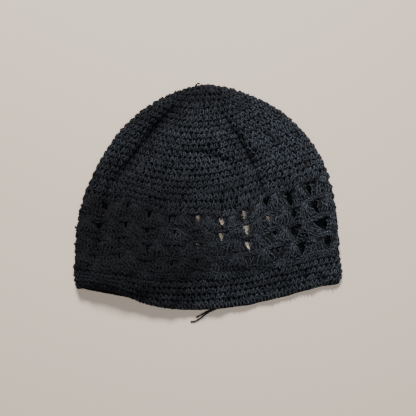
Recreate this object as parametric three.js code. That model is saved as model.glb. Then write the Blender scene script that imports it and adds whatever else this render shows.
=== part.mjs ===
// A crochet kufi cap lying on its side: one fabric worked in rounds from the crown's centre to the hem.
// Millimetres, +Z up. The back of the cap lies on the floor plane Z = 0, the crown points to +Y and the
// mouth opens to -Y. The origin is under the middle of the cap.
import * as THREE from "three";

// Driving dimensions
const FABRIC = 3.0; // thickness of the crocheted wall
const CROWN = 125; // from the top fold to the lace, along the fabric
const LACE = 51; // depth of the openwork band
const HEM = 30; // depth of the plain band at the mouth
const FANS = 22; // fans of stitches in each round of lace
const LACE_ROUNDS = 4;
const JOIN_GAP = 0.5; // clearance where one zone of stitches meets the next
const FOLD_HEIGHT = 6.5; // height of the side folds, at the middle of the wall
const EDGE_ROLL = 5.5; // width of the round edge where the front rises from a side fold
const BELLY_ROLL = 34; // width over which the front goes on rising behind that edge
const EDGE_SHARE = 0.55; // part of the rise that belongs to the round edge
const BACK_ROLL = 6; // width over which the back settles from a side fold to the floor
const TOP_ROLL = 12; // length of fabric in the bend over the top
const FOLD_EASE = 0.05; // how much the fabric crowds together at the side folds, seen from above
const COLUMN_SHIFT = 0.03; // how far the middle columns of lace lie to the right of the centre
const FRONT_SKEW = 0.2; // how far the front's lowest point moves towards the left
const BACK_RISE = 6; // the back's mouth edge lies this far behind the front's
const SLIP = { x: 28, left: 45, right: 25, roll: 40, depth: 6 }; // the back lies off the front away from x
const TUCK = { at: -0.69, wide: 0.24, depth: 5.2 }; // the front's mouth edge draws in at the lower left
const CURL = { length: 13, depth: 3.0 }; // the front's last stretch bends down at the mouth

// The outline of the flattened cap, over the top from one corner of the mouth to the other.
// along is the distance along the fabric from the top fold, negative on the left.
const OUTLINE = [
  { along: -206, x: -102.9, y: -72.7 },
  { along: -175, x: -103.5, y: -51.5 },
  { along: -151, x: -102.3, y: -27.7 },
  { along: -127, x: -97.7, y: -3.9 },
  { along: -95, x: -83.3, y: 29.9 },
  { along: -63, x: -62.7, y: 58.1 },
  { along: -32, x: -35.1, y: 78.5 },
  { along: 0, x: -1.9, y: 87.9 },
  { along: 32, x: 30.3, y: 81.6 },
  { along: 63, x: 58.9, y: 65.5 },
  { along: 95, x: 81.1, y: 41.3 },
  { along: 127, x: 95.4, y: 11.9 },
  { along: 151, x: 100.1, y: -14.2 },
  { along: 175, x: 101.4, y: -41.3 },
  { along: 206, x: 103.5, y: -66.7 },
];

// Sections from the top fold to the mouth.
// drop: how far the middle lies in front of the line between the two side folds, seen from above.
// crest: how high the middle of the front stands above the folds.
const SECTIONS = [
  { along: 0, drop: 0.0, crest: 0.0 },
  { along: 4, drop: 0.9, crest: 3.2 },
  { along: 9, drop: 4.2, crest: 5.6 },
  { along: 16, drop: 10.0, crest: 6.4 },
  { along: 32, drop: 21.5, crest: 6.6 },
  { along: 63, drop: 28.5, crest: 6.4 },
  { along: 95, drop: 26.5, crest: 6.2 },
  { along: 127, drop: 18.0, crest: 6.0 },
  { along: 151, drop: 15.5, crest: 5.8 },
  { along: 175, drop: 15.0, crest: 5.8 },
  { along: 206, drop: 18.4, crest: 6.0 },
];

// Where the front stands proud: an oval patch, its half-widths and its height.
const PUFFS = [
  { name: "crown_panel", x: -3, y: 50, wide: 34, long: 26, height: 4.0 },
  { name: "left_belly", x: -44, y: -46, wide: 42, long: 44, height: 5.5 },
  { name: "middle_ridge", x: 2, y: -8, wide: 14, long: 44, height: 2.0 },
  { name: "right_shoulder", x: 66, y: 24, wide: 22, long: 40, height: 3.0 },
  { name: "left_shoulder", x: -74, y: 38, wide: 16, long: 30, height: 2.0 },
];

// Creases in the front: a bent line through three points, its depth and its half-width.
const CREASES = [
  { name: "left_valley", x: [-20, -48, -70], y: [76, 51, 20], depth: 5.5, width: 7 },
  { name: "right_crease", x: [18, 31, 48], y: [66, 40, 11], depth: 4.0, width: 6 },
  { name: "front_dent", x: [-18, 2, 22], y: [35, 33, 22], depth: 4.2, width: 6.5 },
  { name: "left_lace_fold", x: [-78, -84, -88], y: [2, -24, -44], depth: 3.5, width: 5 },
  { name: "right_lace_fold", x: [59, 68, 77], y: [12, -15, -45], depth: 3.0, width: 5 },
];

// The two loose ends of yarn at the back of the mouth: points on the floor, seen from above.
const YARN_RADIUS = 0.7;
const TAIL_SIDES = 8;
const TAIL_STEPS = 16;
const TAILS = [
  {
    name: "yarn_tail_long",
    x: [20.6, 20.4, 16.5, 11.0, 6.0, -0.5, -6.8, -10.2, -13.6],
    y: [-80.6, -84.0, -86.9, -88.9, -90.8, -94.3, -98.4, -99.6, -99.8],
  },
  {
    name: "yarn_tail_short",
    x: [17.4, 16.6, 12.5, 8.0, 4.0, -2.0, -8.8],
    y: [-81.0, -84.0, -86.4, -87.9, -89.6, -92.6, -96.4],
  },
];

// Facets
const COLUMNS = 4 * FANS;
const CROWN_ROWS = 13;
const HEM_ROWS = 4;
const FOLD_FACETS = 0.45; // how much closer together the columns of a closed zone stand at the side folds
const HOLE_ENDS = [0.2, 0.7]; // a lace gap's ends, as shares of its round
const HOLE_HALF_WIDTHS = [0.42, 0.15]; // half its width at those ends, in columns
const CREASE_STEPS = 12;

const lerp = THREE.MathUtils.lerp;
const smoothstep = THREE.MathUtils.smoothstep;

// A smooth curve through one column of a table.
function through(rows, column) {
  const slope = (i) => {
    const before = rows[Math.max(i - 1, 0)];
    const after = rows[Math.min(i + 1, rows.length - 1)];
    return (after[column] - before[column]) / (after.along - before.along);
  };
  return (along) => {
    const last = rows.length - 2;
    const found = rows.findIndex((row, i) => i > 0 && along <= row.along) - 1;
    const i = found < 0 ? last : found;
    const a = rows[i];
    const b = rows[i + 1];
    const length = b.along - a.along;
    const s = (along - a.along) / length;
    const rise = b[column] - a[column];
    const start = slope(i) * length;
    const end = slope(i + 1) * length;
    const bend = start + end - 2 * rise;
    return a[column] + s * (start + s * (3 * rise - 2 * start - end + s * bend));
  };
}

const outlineX = through(OUTLINE, "x");
const outlineY = through(OUTLINE, "y");
const dropAt = through(SECTIONS, "drop");
const crestAt = through(SECTIONS, "crest");

// Height profile across a section: 0 at a side fold, 1 once the roll is over.
function rolled(across, half, roll) {
  const start = Math.max(0, 1 - roll / Math.max(half, 1e-6));
  const s = Math.max(0, (Math.abs(across) - start) / (1 - start));
  return Math.sqrt(Math.max(0, 1 - s * s));
}

// A crease as short straight stretches, from the parabola through its three points.
function creaseLine({ x, y }) {
  const bent = (v, s) =>
    (1 - s) * (1 - 2 * s) * v[0] + 4 * s * (1 - s) * v[1] + s * (2 * s - 1) * v[2];
  return Array.from({ length: CREASE_STEPS + 1 }, (_, i) => {
    const s = i / CREASE_STEPS;
    return { s, x: bent(x, s), y: bent(y, s) };
  });
}

const creases = CREASES.map((crease) => ({ ...crease, line: creaseLine(crease) }));

// How far a crease lowers the front at a place seen from above; it fades out at both ends.
function creaseDepth({ line, depth, width }, x, y) {
  const near = { gap: Infinity, s: 0 };
  line.slice(1).forEach((b, i) => {
    const a = line[i];
    const length = (b.x - a.x) ** 2 + (b.y - a.y) ** 2;
    const t = THREE.MathUtils.clamp(((x - a.x) * (b.x - a.x) + (y - a.y) * (b.y - a.y)) / length, 0, 1);
    const gap = Math.hypot(lerp(a.x, b.x, t) - x, lerp(a.y, b.y, t) - y);
    if (gap < near.gap) Object.assign(near, { gap, s: lerp(a.s, b.s, t) });
  });
  const fade = Math.sin(Math.PI * lerp(0.08, 0.92, near.s)) ** 0.5;
  return depth * fade * Math.exp(-((near.gap / width) ** 2));
}

function puffHeight({ x, y, wide, long, height }, px, py) {
  return height * Math.exp(-(((px - x) / wide) ** 2) - ((py - y) / long) ** 2);
}

// The middle of the wall at a distance along the fabric from the top fold, and at a turn round the cap.
// A turn of 0 is the right fold, a quarter turn the middle of the front, a half turn the left fold.
function fabricPoint(along, turn) {
  const whole = THREE.MathUtils.euclideanModulo(turn, 2 * Math.PI);
  const front = whole <= Math.PI;
  const around = front ? whole : 2 * Math.PI - whole;

  const flattened = smoothstep(along, 0, CROWN);
  const even = 1 - (2 * around) / Math.PI;
  const crowded = even + FOLD_EASE * (even - even ** 9) + COLUMN_SHIFT * (1 - even * even);
  const across = lerp(Math.cos(around), crowded, flattened);

  const share = (across + 1) / 2;
  const leftX = outlineX(-along);
  const rightX = outlineX(along);
  const half = (rightX - leftX) / 2;
  const x = lerp(leftX, rightX, share);
  const foldY = lerp(outlineY(-along), outlineY(along), share);

  const fullness = Math.max(0, 1 - across * across) ** lerp(0.5, 1.4, flattened);
  const skew = 1 - FRONT_SKEW * across * flattened;
  const mouth = smoothstep(along, CROWN + LACE, CROWN + LACE + HEM);
  const tuck = mouth * TUCK.depth * Math.exp(-(((across - TUCK.at) / TUCK.wide) ** 2));
  const off = Math.tanh((SLIP.x - x) / (x < SLIP.x ? SLIP.left : SLIP.right));
  const slip = SLIP.depth * off * flattened * (1 - mouth) * rolled(across, half, SLIP.roll);
  const shift = front ? tuck * rolled(across, half, EDGE_ROLL) : slip + mouth * BACK_RISE * fullness;
  const y = foldY - dropAt(along) * fullness * skew + shift;

  const bend = Math.sqrt(1 - (1 - Math.min(1, along / TOP_ROLL)) ** 2);
  if (!front) {
    const settle = rolled(across, half, BACK_ROLL) * bend;
    return new THREE.Vector3(x, y, lerp(FOLD_HEIGHT, FABRIC / 2, settle));
  }
  const rise = lerp(rolled(across, half, BELLY_ROLL), rolled(across, half, EDGE_ROLL), EDGE_SHARE);
  const puffs = PUFFS.reduce((sum, puff) => sum + puffHeight(puff, x, y), 0);
  const dips = creases.reduce((sum, crease) => sum + creaseDepth(crease, x, y), 0);
  const edge = Math.max(0, 1 - (CROWN + LACE + HEM - along) / CURL.length) ** 2;
  const curl = CURL.depth * edge * (1.2 - 0.8 * across);
  return new THREE.Vector3(x, y, FOLD_HEIGHT + rise * (crestAt(along) + (puffs - dips) * bend - curl));
}

// The outward direction of the wall, from its slopes round and along the fabric.
function fabricNormal(along, turn) {
  if (along === 0) return new THREE.Vector3(0, 1, 0);
  const step = 0.6;
  const turned = step / along;
  const round = fabricPoint(along, turn + turned).sub(fabricPoint(along, turn - turned));
  const down = fabricPoint(along + step, turn).sub(fabricPoint(along - step, turn));
  return round.cross(down).normalize();
}

// A closed wall over rows of places, each place an along and a turn, without the cells that isGap names.
// A first row at the top fold itself closes to a point.
function wall(places, isGap = () => false) {
  const rows = places.length - 1;
  const columns = COLUMNS;
  const pointed = places[0][0].along === 0;
  const at = (i, j) => (pointed && i === 0 ? 0 : i * columns + (j % columns));
  const count = places.length * columns;
  const position = new Float32Array(2 * count * 3);
  places.forEach((row, i) =>
    row.forEach(({ along, turn }, j) => {
      const normal = fabricNormal(along, turn);
      const middle = fabricPoint(along, turn);
      const outer = middle.clone().addScaledVector(normal, FABRIC / 2);
      const inner = middle.clone().addScaledVector(normal, -FABRIC / 2);
      outer.toArray(position, 3 * at(i, j));
      inner.toArray(position, 3 * (count + at(i, j)));
    }),
  );
  const kept = (i, j) => i >= 0 && i < rows && !isGap(i, (j + columns) % columns);
  const index = [];
  const face = (a, b, c) => {
    if (a !== b && b !== c && c !== a) index.push(a, b, c);
  };
  for (let i = 0; i < rows; i++)
    for (let j = 0; j < columns; j++) {
      if (!kept(i, j)) continue;
      const [a, b, c, d] = [at(i, j), at(i, j + 1), at(i + 1, j + 1), at(i + 1, j)];
      face(a, b, d);
      face(b, c, d);
      face(count + a, count + d, count + b);
      face(count + b, count + d, count + c);
      const side = (p, q, neighbour) => {
        if (neighbour || p === q) return;
        face(q, p, count + p);
        face(q, count + p, count + q);
      };
      side(a, b, kept(i - 1, j));
      side(b, c, kept(i, j + 1));
      side(c, d, kept(i + 1, j));
      side(d, a, kept(i, j - 1));
    }
  const geometry = new THREE.BufferGeometry();
  geometry.setAttribute("position", new THREE.BufferAttribute(position, 3));
  geometry.setIndex(index);
  return geometry;
}

const turnOf = (column) => (2 * Math.PI * column) / COLUMNS;
const ring = (along) => Array.from({ length: COLUMNS }, (_, j) => ({ along, turn: turnOf(j) }));
const closeRing = (along) =>
  ring(along).map(({ turn }) => ({ along, turn: turn - 0.5 * FOLD_FACETS * Math.sin(2 * turn) }));
const spaced = (from, to, steps) => Array.from({ length: steps + 1 }, (_, i) => lerp(from, to, i / steps));

// The closed crown, from its point on the top fold.
function crownGeometry() {
  return wall(spaced(0, CROWN - JOIN_GAP / 2, CROWN_ROWS).map(closeRing));
}

// The openwork band: between each two columns of fans a column of gaps, each narrowing towards the mouth.
function laceGeometry() {
  const pitch = LACE / LACE_ROUNDS;
  const rows = [closeRing(CROWN + JOIN_GAP / 2)];
  for (let round = 0; round < LACE_ROUNDS; round++) {
    const start = CROWN + pitch * round;
    HOLE_ENDS.forEach((share, end) => {
      const row = ring(start + pitch * share);
      const inward = turnOf(1 - HOLE_HALF_WIDTHS[end]);
      row.forEach((place, j) => {
        if (j % 4 === 3) place.turn += inward;
        if (j % 4 === 1) place.turn -= inward;
      });
      rows.push(row);
    });
    const last = round === LACE_ROUNDS - 1;
    rows.push(last ? closeRing(start + pitch - JOIN_GAP / 2) : ring(start + pitch));
  }
  return wall(rows, (i, j) => i % 3 === 1 && (j % 4 === 3 || j % 4 === 0));
}

// The plain band round the mouth.
function hemGeometry() {
  const start = CROWN + LACE + JOIN_GAP / 2;
  return wall(spaced(start, CROWN + LACE + HEM, HEM_ROWS).map(closeRing));
}

// A loose end of yarn lying on the floor.
function tailGeometry({ x, y }) {
  const route = new THREE.CatmullRomCurve3(x.map((value, i) => new THREE.Vector3(value, y[i], YARN_RADIUS)));
  const section = new THREE.Shape();
  section.absarc(0, 0, YARN_RADIUS, 0, 2 * Math.PI);
  return new THREE.ExtrudeGeometry(section, {
    steps: TAIL_STEPS,
    curveSegments: TAIL_SIDES / 2,
    extrudePath: route,
    bevelEnabled: false,
  });
}

const cotton = new THREE.MeshStandardMaterial({ color: 0x16191d, roughness: 0.95, metalness: 0 });

const cap = new THREE.Group();
function add(name, geometry) {
  const mesh = new THREE.Mesh(geometry, cotton.clone());
  mesh.name = name;
  cap.add(mesh);
}

add("crown", crownGeometry());
add("lace_band", laceGeometry());
add("hem_band", hemGeometry());
TAILS.forEach((tail) => add(tail.name, tailGeometry(tail)));

export default cap;
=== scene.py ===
"""A crochet kufi cap lying on a pale floor, worked stitch by stitch in yarn.

The fabric is one surface, measured by the distance from the crown's centre and the angle round the cap.
Every stitch is a few short runs of yarn laid on that surface. Lengths are millimetres until a mesh is made.
"""

import logging
import math
from dataclasses import dataclass, field
from enum import Enum
from itertools import islice

import bpy
import numpy as np
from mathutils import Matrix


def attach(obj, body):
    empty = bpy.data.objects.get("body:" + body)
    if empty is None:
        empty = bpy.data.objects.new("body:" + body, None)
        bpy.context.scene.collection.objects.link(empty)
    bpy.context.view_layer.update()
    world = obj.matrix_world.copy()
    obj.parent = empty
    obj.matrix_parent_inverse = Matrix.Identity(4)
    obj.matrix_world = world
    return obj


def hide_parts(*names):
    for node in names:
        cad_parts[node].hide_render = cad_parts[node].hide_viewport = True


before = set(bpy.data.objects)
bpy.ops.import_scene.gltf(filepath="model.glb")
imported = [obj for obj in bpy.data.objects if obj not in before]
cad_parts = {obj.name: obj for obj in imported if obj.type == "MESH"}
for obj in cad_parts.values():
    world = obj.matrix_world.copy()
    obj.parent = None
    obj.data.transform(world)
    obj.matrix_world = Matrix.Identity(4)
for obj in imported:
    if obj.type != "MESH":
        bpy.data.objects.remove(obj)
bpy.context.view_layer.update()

Array = np.ndarray
Row = tuple[float, ...]
Rng = np.random.Generator
Piece = bpy.types.Object
Material = bpy.types.Material
Tree = bpy.types.NodeTree
Socket = bpy.types.NodeSocket
Inputs = dict[str | int, Socket | float | Row]
LOG = logging.getLogger("kufi_cap")
MM = 0.001
TURN = 2.0 * math.pi
# Painted shade: the tone of yarn deep in the fabric, and the tone lost for each millimetre of a crease.
DEEP_PAINTED_SHADE = -0.8
CREASE_SHADE = 0.11


class Slot(Enum):
    """The record's material slots."""

    FABRIC = "crochet_cotton"
    LOOSE = "loose_yarn"


class Zone(Enum):
    """The CAD nodes that the yarn stands for."""

    CROWN = "crown"
    LACE = "lace_band"
    HEM = "hem_band"
    TAIL_LONG = "yarn_tail_long"
    TAIL_SHORT = "yarn_tail_short"


def smoothstep(value: Array, low: float, high: float) -> Array:
    """Ease from 0 to 1.

    Args:
        value: Where to read the curve.
        low: Where it leaves 0.
        high: Where it reaches 1.

    Returns:
        The eased share.
    """
    share = np.clip((value - low) / (high - low), 0.0, 1.0)
    return share * share * (3.0 - 2.0 * share)


def unit(vectors: Array) -> Array:
    """Return the vectors at length one."""
    return vectors / np.maximum(np.linalg.norm(vectors, axis=-1, keepdims=True), 1e-9)


@dataclass(frozen=True)
class Crease:
    """A bent dip in the front, through three places seen from above.

    Attributes:
        x: The places' x.
        y: The places' y.
        depth: How far it lowers the front.
        width: Its half-width.
        skew: How much wider it is on its left than on its right, from -1 to 1.
        sharp: How much deeper its narrow middle is, as a share of the depth.
        broad: Depth of its broad valley, as a share of the depth.
        narrow: Half-width of its narrow middle, as a share of the width.
        end_share: Share of the fading that is cut off at either end.
        skew_reach: How far off its line the skew takes hold, times the length of one stretch.
        samples: Places along it that are measured from.
    """

    x: Row
    y: Row
    depth: float
    width: float
    skew: float = 0.0
    sharp: float = 0.45
    broad: float = 0.75
    narrow: float = 0.35
    end_share: float = 0.08
    skew_reach: float = 8.0
    samples: int = 13

    def line(self) -> tuple[Array, Array, Array]:
        """Sample the crease.

        Returns:
            Shares along it, and the x and y there.
        """
        share = np.linspace(0.0, 1.0, self.samples)
        first = (1 - share) * (1 - 2 * share)
        middle = 4 * share * (1 - share)
        last = share * (2 * share - 1)
        x, y = (first * v[0] + middle * v[1] + last * v[2] for v in (self.x, self.y))
        return share, x, y

    def dip(self, x: Array, y: Array) -> Array:
        """Return how far the crease lowers the front.

        Args:
            x: Places seen from above.
            y: The same places' y.

        Returns:
            The dip at each place.
        """
        share, line_x, line_y = self.line()
        step_x = np.diff(line_x)
        step_y = np.diff(line_y)
        off_x = x[..., None] - line_x[:-1]
        off_y = y[..., None] - line_y[:-1]
        along = np.clip((off_x * step_x + off_y * step_y) / (step_x**2 + step_y**2), 0.0, 1.0)
        gap = np.hypot(off_x - along * step_x, off_y - along * step_y)
        nearest = gap.argmin(-1)[..., None]
        at = np.take_along_axis(share[:-1] + along * (share[1] - share[0]), nearest, -1)[..., 0]
        fade = np.sqrt(np.sin(np.pi * (self.end_share + (1.0 - 2.0 * self.end_share) * at)))
        turn = np.take_along_axis(step_x * off_y - step_y * off_x, nearest, -1)[..., 0]
        valley = gap.min(-1) / (self.width * (1.0 + self.skew * np.tanh(turn / self.skew_reach)))
        middle = self.sharp * np.exp(-((valley / self.narrow) ** 2))
        return self.depth * fade * (self.broad * np.exp(-(valley**2)) + middle)


STILL = (0.0, 0.0, 0.0, 0.0)
CLOSED = (-0.7, -0.7, -0.7, -0.7)


@dataclass(frozen=True)
class HoleColumn:
    """One column of holes in the lace, with its twin on the back.

    Attributes:
        shifts: How far each round's hole has slipped towards the mouth, in rounds.
        halves: Half the width of each round's hole.
        sways: How far each round's hole has slipped round the cap, in fans.
        back_shift: The slip of the twin column.
        back_halves: Half the width of each of the twin's holes.
    """

    shifts: Row
    halves: Row
    sways: Row = STILL
    back_shift: float = 0.0
    back_halves: Row = CLOSED


COLUMNS = (
    HoleColumn(STILL, (0.6, 0.6, 0.6, 0.6)),
    HoleColumn((-0.10, -0.17, -0.06, -0.06), (2.6, 3.3, 5.4, 5.0), (0.29, 0.16, -0.21, -0.47), 0.1),
    HoleColumn((0.17, -0.10, 0.02, -0.02), (2.4, 2.5, 3.0, 2.8), (0.16, 0.04, 0.12, -0.22), 0.1),
    HoleColumn(
        (0.03, -0.06, -0.11, -0.13),
        (1.6, 2.1, 1.8, 1.8),
        (0.12, 0.10, -0.12, -0.24),
        -0.25,
        (-0.7, 5.0, -0.7, -0.7),
    ),
    HoleColumn(
        (0.42, 0.12, 0.0, 0.09),
        (1.9, 2.5, 2.5, 1.0),
        (0.08, 0.02, 0.0, -0.15),
        0.2,
        (4.4, 5.0, 5.0, -0.7),
    ),
    HoleColumn(
        (0.70, 0.28, 0.05, 0.0),
        (2.2, 2.2, 1.0, 1.0),
        (0.0, 0.05, 0.05, 0.0),
        0.4,
        (4.8, 5.0, -0.7, -0.7),
    ),
    HoleColumn((0.18, -0.02, -0.18, -0.25), (1.7, 1.4, 1.7, 1.2), STILL, 0.2, (4.4, -0.7, 1.4, -0.7)),
    HoleColumn(
        (0.20, -0.08, -0.09, -0.16),
        (1.4, 1.6, 1.6, 1.3),
        (0.16, -0.08, -0.08, 0.0),
        0.0,
        (-0.7, 1.4, 1.4, -0.7),
    ),
    HoleColumn((-0.03, -0.04, 0.0, -0.1), (1.6, 1.8, 1.8, 1.3), (0.0, 0.0, -0.07, 0.0)),
    HoleColumn((-0.29, -0.25, -0.37, -0.3), (1.3, 1.3, 1.3, 1.0), (-0.08, -0.18, -0.13, 0.0), 0.2),
    HoleColumn((0.10, 0.18, 0.16, 0.1), (1.5, 1.8, 1.5, 1.0), (-0.16, -0.06, -0.14, 0.0), -0.3),
    HoleColumn((0.22, 0.23, 0.33, 0.2), (0.6, 0.6, 0.6, 0.6)),
)
ALL_COLUMNS = COLUMNS + tuple(
    HoleColumn((twin.back_shift,) * len(STILL), twin.back_halves) for twin in COLUMNS[-2:0:-1]
)


@dataclass(frozen=True)
class CapForm:
    """The middle of the cap's wall as a surface.

    Attributes:
        fabric: The wall's thickness.
        crown: The crown's length from its centre to the lace.
        lace: The lace's length.
        hem: The hem's length.
        fold_height: Height of the side folds.
        corner_lifts: How far the mouth's left and right corners lie above the side folds.
        corner_span: Where across the cap that starts and is complete.
        edge_roll: Width of the front's tight roll at a fold.
        belly_roll: Width of the front's wide roll at a fold.
        edge_share: The tight roll's share of the two.
        back_roll: Width of the back's roll at a fold.
        top_roll: Length of the roll at the top.
        fold_ease: How much the columns crowd at the folds.
        column_shift: How far they lie to the right.
        front_skew: How much less the rounds drop on the right.
        back_rise: How far the back's mouth edge lies behind the front's.
        centre_behind: How far the crown's centre lies behind the top fold.
        fan_slack: Spread of the fans' slips.
        most_slack: The largest of those.
        slack_reach: How far the slips reach into the crown and into the hem.
        slack_seed: Start of the fans' slips.
        hole_rise: How far a hole's middle lies before its round's end, in rounds.
        slip: The back's slip: x of its middle, reach to the left, to the right, roll at a fold, depth.
        tuck: Place across, width and depth of the tuck in the mouth's front edge.
        outline: Rows of (along, x, y) round the flattened cap, from the mouth's left corner to its right.
        curl: Rows of (across, length, depth) of the mouth's front edge, which bends down to the floor.
        sections: Rows of (along, drop, crest) from the top fold to the mouth.
        puffs: Rows of (x, y, half-width, half-length, height) where the front stands proud.
        creases: Dips in the front.
        ripples: Rows of (turn per millimetre in x, in y, phase, height) of the front's slack.
    """

    fabric: float = 3.0
    crown: float = 125.0
    lace: float = 51.0
    hem: float = 30.0
    fold_height: float = 6.5
    corner_lifts: Row = (0.8, -3.0)
    corner_span: Row = (0.1, 0.9)
    edge_roll: float = 5.5
    belly_roll: float = 34.0
    edge_share: float = 0.55
    back_roll: float = 6.0
    top_roll: float = 12.0
    fold_ease: float = 0.05
    column_shift: float = 0.03
    front_skew: float = 0.2
    back_rise: float = 6.0
    centre_behind: float = 20.0
    fan_slack: float = 1.6
    most_slack: float = 4.0
    slack_reach: Row = (25.0, 22.0)
    slack_seed: int = 83
    hole_rise: float = 0.55
    slip: Row = (28.0, 45.0, 25.0, 40.0, 6.0)
    tuck: Row = (-0.74, 0.20, 5.4)
    curl: tuple[Row, ...] = (
        (-1.0, 10.0, 6.0), (-0.75, 10.0, 6.5), (-0.45, 24.0, 7.0), (0.0, 42.0, 8.0), (0.5, 42.0, 7.5),
        (1.0, 30.0, 6.0),
    )
    outline: tuple[Row, ...] = (
        (-206, -100.6, -73.0), (-198, -104.2, -67.8), (-175, -105.0, -51.5), (-151, -104.1, -27.7),
        (-127, -98.9, -3.9), (-95, -83.3, 29.9), (-63, -62.7, 58.1), (-32, -35.1, 78.5), (0, -1.9, 87.9),
        (32, 30.3, 81.6), (63, 59.4, 65.8), (95, 82.6, 41.6), (127, 97.2, 12.1), (151, 102.3, -14.2),
        (175, 103.6, -41.3), (199, 106.6, -62.8), (206, 103.6, -69.4),
    )
    sections: tuple[Row, ...] = (
        (0, 0.0, 0.0), (4, 0.9, 3.2), (9, 4.2, 5.6), (16, 10.0, 6.4), (32, 21.5, 6.6), (63, 28.5, 6.4),
        (95, 26.5, 6.2), (127, 18.0, 6.0), (151, 15.5, 5.8), (175, 15.0, 5.8), (206, 18.4, 6.0),
    )
    puffs: tuple[Row, ...] = (
        (-3, 50, 34, 26, 4.0), (-44, -46, 42, 44, 5.5), (2, -8, 14, 44, 2.0), (66, 24, 22, 40, 3.0),
        (-74, 38, 16, 30, 2.0), (-72, -66, 28, 16, 2.5),
    )
    creases: tuple[Crease, ...] = (
        Crease((-21, -45, -76), (75, 50, 8), 8.2, 8.4, 0.4, 0.3),
        Crease((17.0, 32.5, 46.0), (57.0, 32.0, -2.0), 7.2, 5.8, -0.3),
        Crease((-18, 2, 22), (35, 33, 22), 3.2, 5.5),
        Crease((-78, -84, -88), (2, -24, -44), 3.5, 5.0),
        Crease((59, 68, 77), (12, -15, -45), 3.0, 5.0),
    )
    ripples: tuple[Row, ...] = (
        (0.33, 0.10, 0.4, 0.45), (-0.14, 0.29, 1.9, 0.45), (0.21, 0.24, 3.1, 0.40),
        (0.47, -0.20, 5.2, 0.30), (0.05, 0.52, 2.2, 0.30),
    )

    @property
    def length(self) -> float:
        """The fabric's length from the crown to the mouth."""
        return self.crown + self.lace + self.hem

    def slips(self) -> Array:
        """Slack of the lace at the holes and at the fans' middles.

        Returns:
            Half fans by rounds, with a still row on either side, by two: millimetres down and fans round.
        """
        rounds = len(ALL_COLUMNS[0].shifts)
        rng = np.random.default_rng(self.slack_seed)
        slips = np.zeros((2 * len(ALL_COLUMNS), rounds + 2, 2))
        slips[::2, 1:-1, 0] = np.array([column.shifts for column in ALL_COLUMNS]) * self.lace / rounds
        slips[::2, 1:-1, 1] = [column.sways for column in ALL_COLUMNS]
        slips[1::2] = (slips[::2] + np.roll(slips[::2], -1, axis=0)) / 2.0
        slack = rng.normal(0.0, self.fan_slack, (len(ALL_COLUMNS), rounds))
        slips[1::2, 1:-1, 0] += np.clip(slack, -self.most_slack, self.most_slack)
        return slips

    def eased(self, distance: Array, angle: Array) -> tuple[Array, Array]:
        """Let the fabric slip where the lace's holes and fans have.

        Args:
            distance: Distances from the crown's centre.
            angle: Angles round that centre.

        Returns:
            The distances and the angles with the slip.
        """
        slips = self.slips()
        rounds = slips.shape[1] - 2
        nodes = self.crown + self.lace / rounds * (np.arange(rounds + 2) - self.hole_rise)
        nodes[0] = self.crown - self.slack_reach[0]
        nodes[-1] = self.crown + self.lace + self.slack_reach[1]
        row = np.clip(np.searchsorted(nodes, distance) - 1, 0, rounds)
        down = smoothstep((distance - nodes[row]) / (nodes[row + 1] - nodes[row]), 0.0, 1.0)[..., None]
        column = angle / TURN * len(slips)
        low = np.floor(column).astype(int)
        side = smoothstep(column - low, 0.0, 1.0)[..., None]
        around = (low % len(slips), (low + 1) % len(slips))
        low_row, high_row = ((1.0 - down) * slips[k, row] + down * slips[k, row + 1] for k in around)
        slip = low_row + (high_row - low_row) * side
        return distance + slip[..., 0], angle + slip[..., 1] * TURN / len(ALL_COLUMNS)

    @staticmethod
    def through(table: tuple[Row, ...], column: int, at: Array) -> Array:
        """Read a smooth curve through one column of a table.

        Args:
            table: Rows that start with the distance along the fabric.
            column: Which value to read.
            at: Distances along the fabric.

        Returns:
            The column's value at each distance.
        """
        rows = np.array(table, dtype=float)
        x = rows[:, 0]
        y = rows[:, column]
        slope = np.concatenate(
            [
                [(y[1] - y[0]) / (x[1] - x[0])],
                (y[2:] - y[:-2]) / (x[2:] - x[:-2]),
                [(y[-1] - y[-2]) / (x[-1] - x[-2])],
            ]
        )
        i = np.clip(np.searchsorted(x, at) - 1, 0, len(x) - 2)
        length = x[i + 1] - x[i]
        s = (at - x[i]) / length
        rise = y[i + 1] - y[i]
        start = slope[i] * length
        end = slope[i + 1] * length
        return y[i] + s * (start + s * (3 * rise - 2 * start - end + s * (start + end - 2 * rise)))

    @staticmethod
    def rolled(across: Array, half: Array, roll: float) -> Array:
        """Height profile across a section.

        Args:
            across: Place from the left fold at -1 to the right fold at 1.
            half: Half the section's width.
            roll: Width of the roll at a fold.

        Returns:
            0 at a fold, 1 once the roll is over.
        """
        start = np.maximum(0.0, 1.0 - roll / np.maximum(half, 1e-6))
        s = np.maximum(0.0, (np.abs(across) - start) / (1.0 - start))
        return np.sqrt(np.maximum(0.0, 1.0 - s * s))

    def folded(self, along: Array, around: Array, front: Array) -> Array:
        """Places on the flattened cap.

        Args:
            along: Distances along the fabric from the top fold.
            around: Turns from the right fold, 0 to pi.
            front: Whether each place is on the front.

        Returns:
            The places, three numbers each.
        """
        flattened = smoothstep(along, 0.0, self.crown)
        even = 1.0 - 2.0 * around / np.pi
        crowded = even + self.fold_ease * (even - even**9) + self.column_shift * (1.0 - even * even)
        across = np.cos(around) + (crowded - np.cos(around)) * flattened
        share = (across + 1.0) / 2.0
        left = self.through(self.outline, 1, -along)
        right = self.through(self.outline, 1, along)
        half = (right - left) / 2.0
        x = left + (right - left) * share
        fold_left = self.through(self.outline, 2, -along)
        fold_y = fold_left + (self.through(self.outline, 2, along) - fold_left) * share

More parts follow.
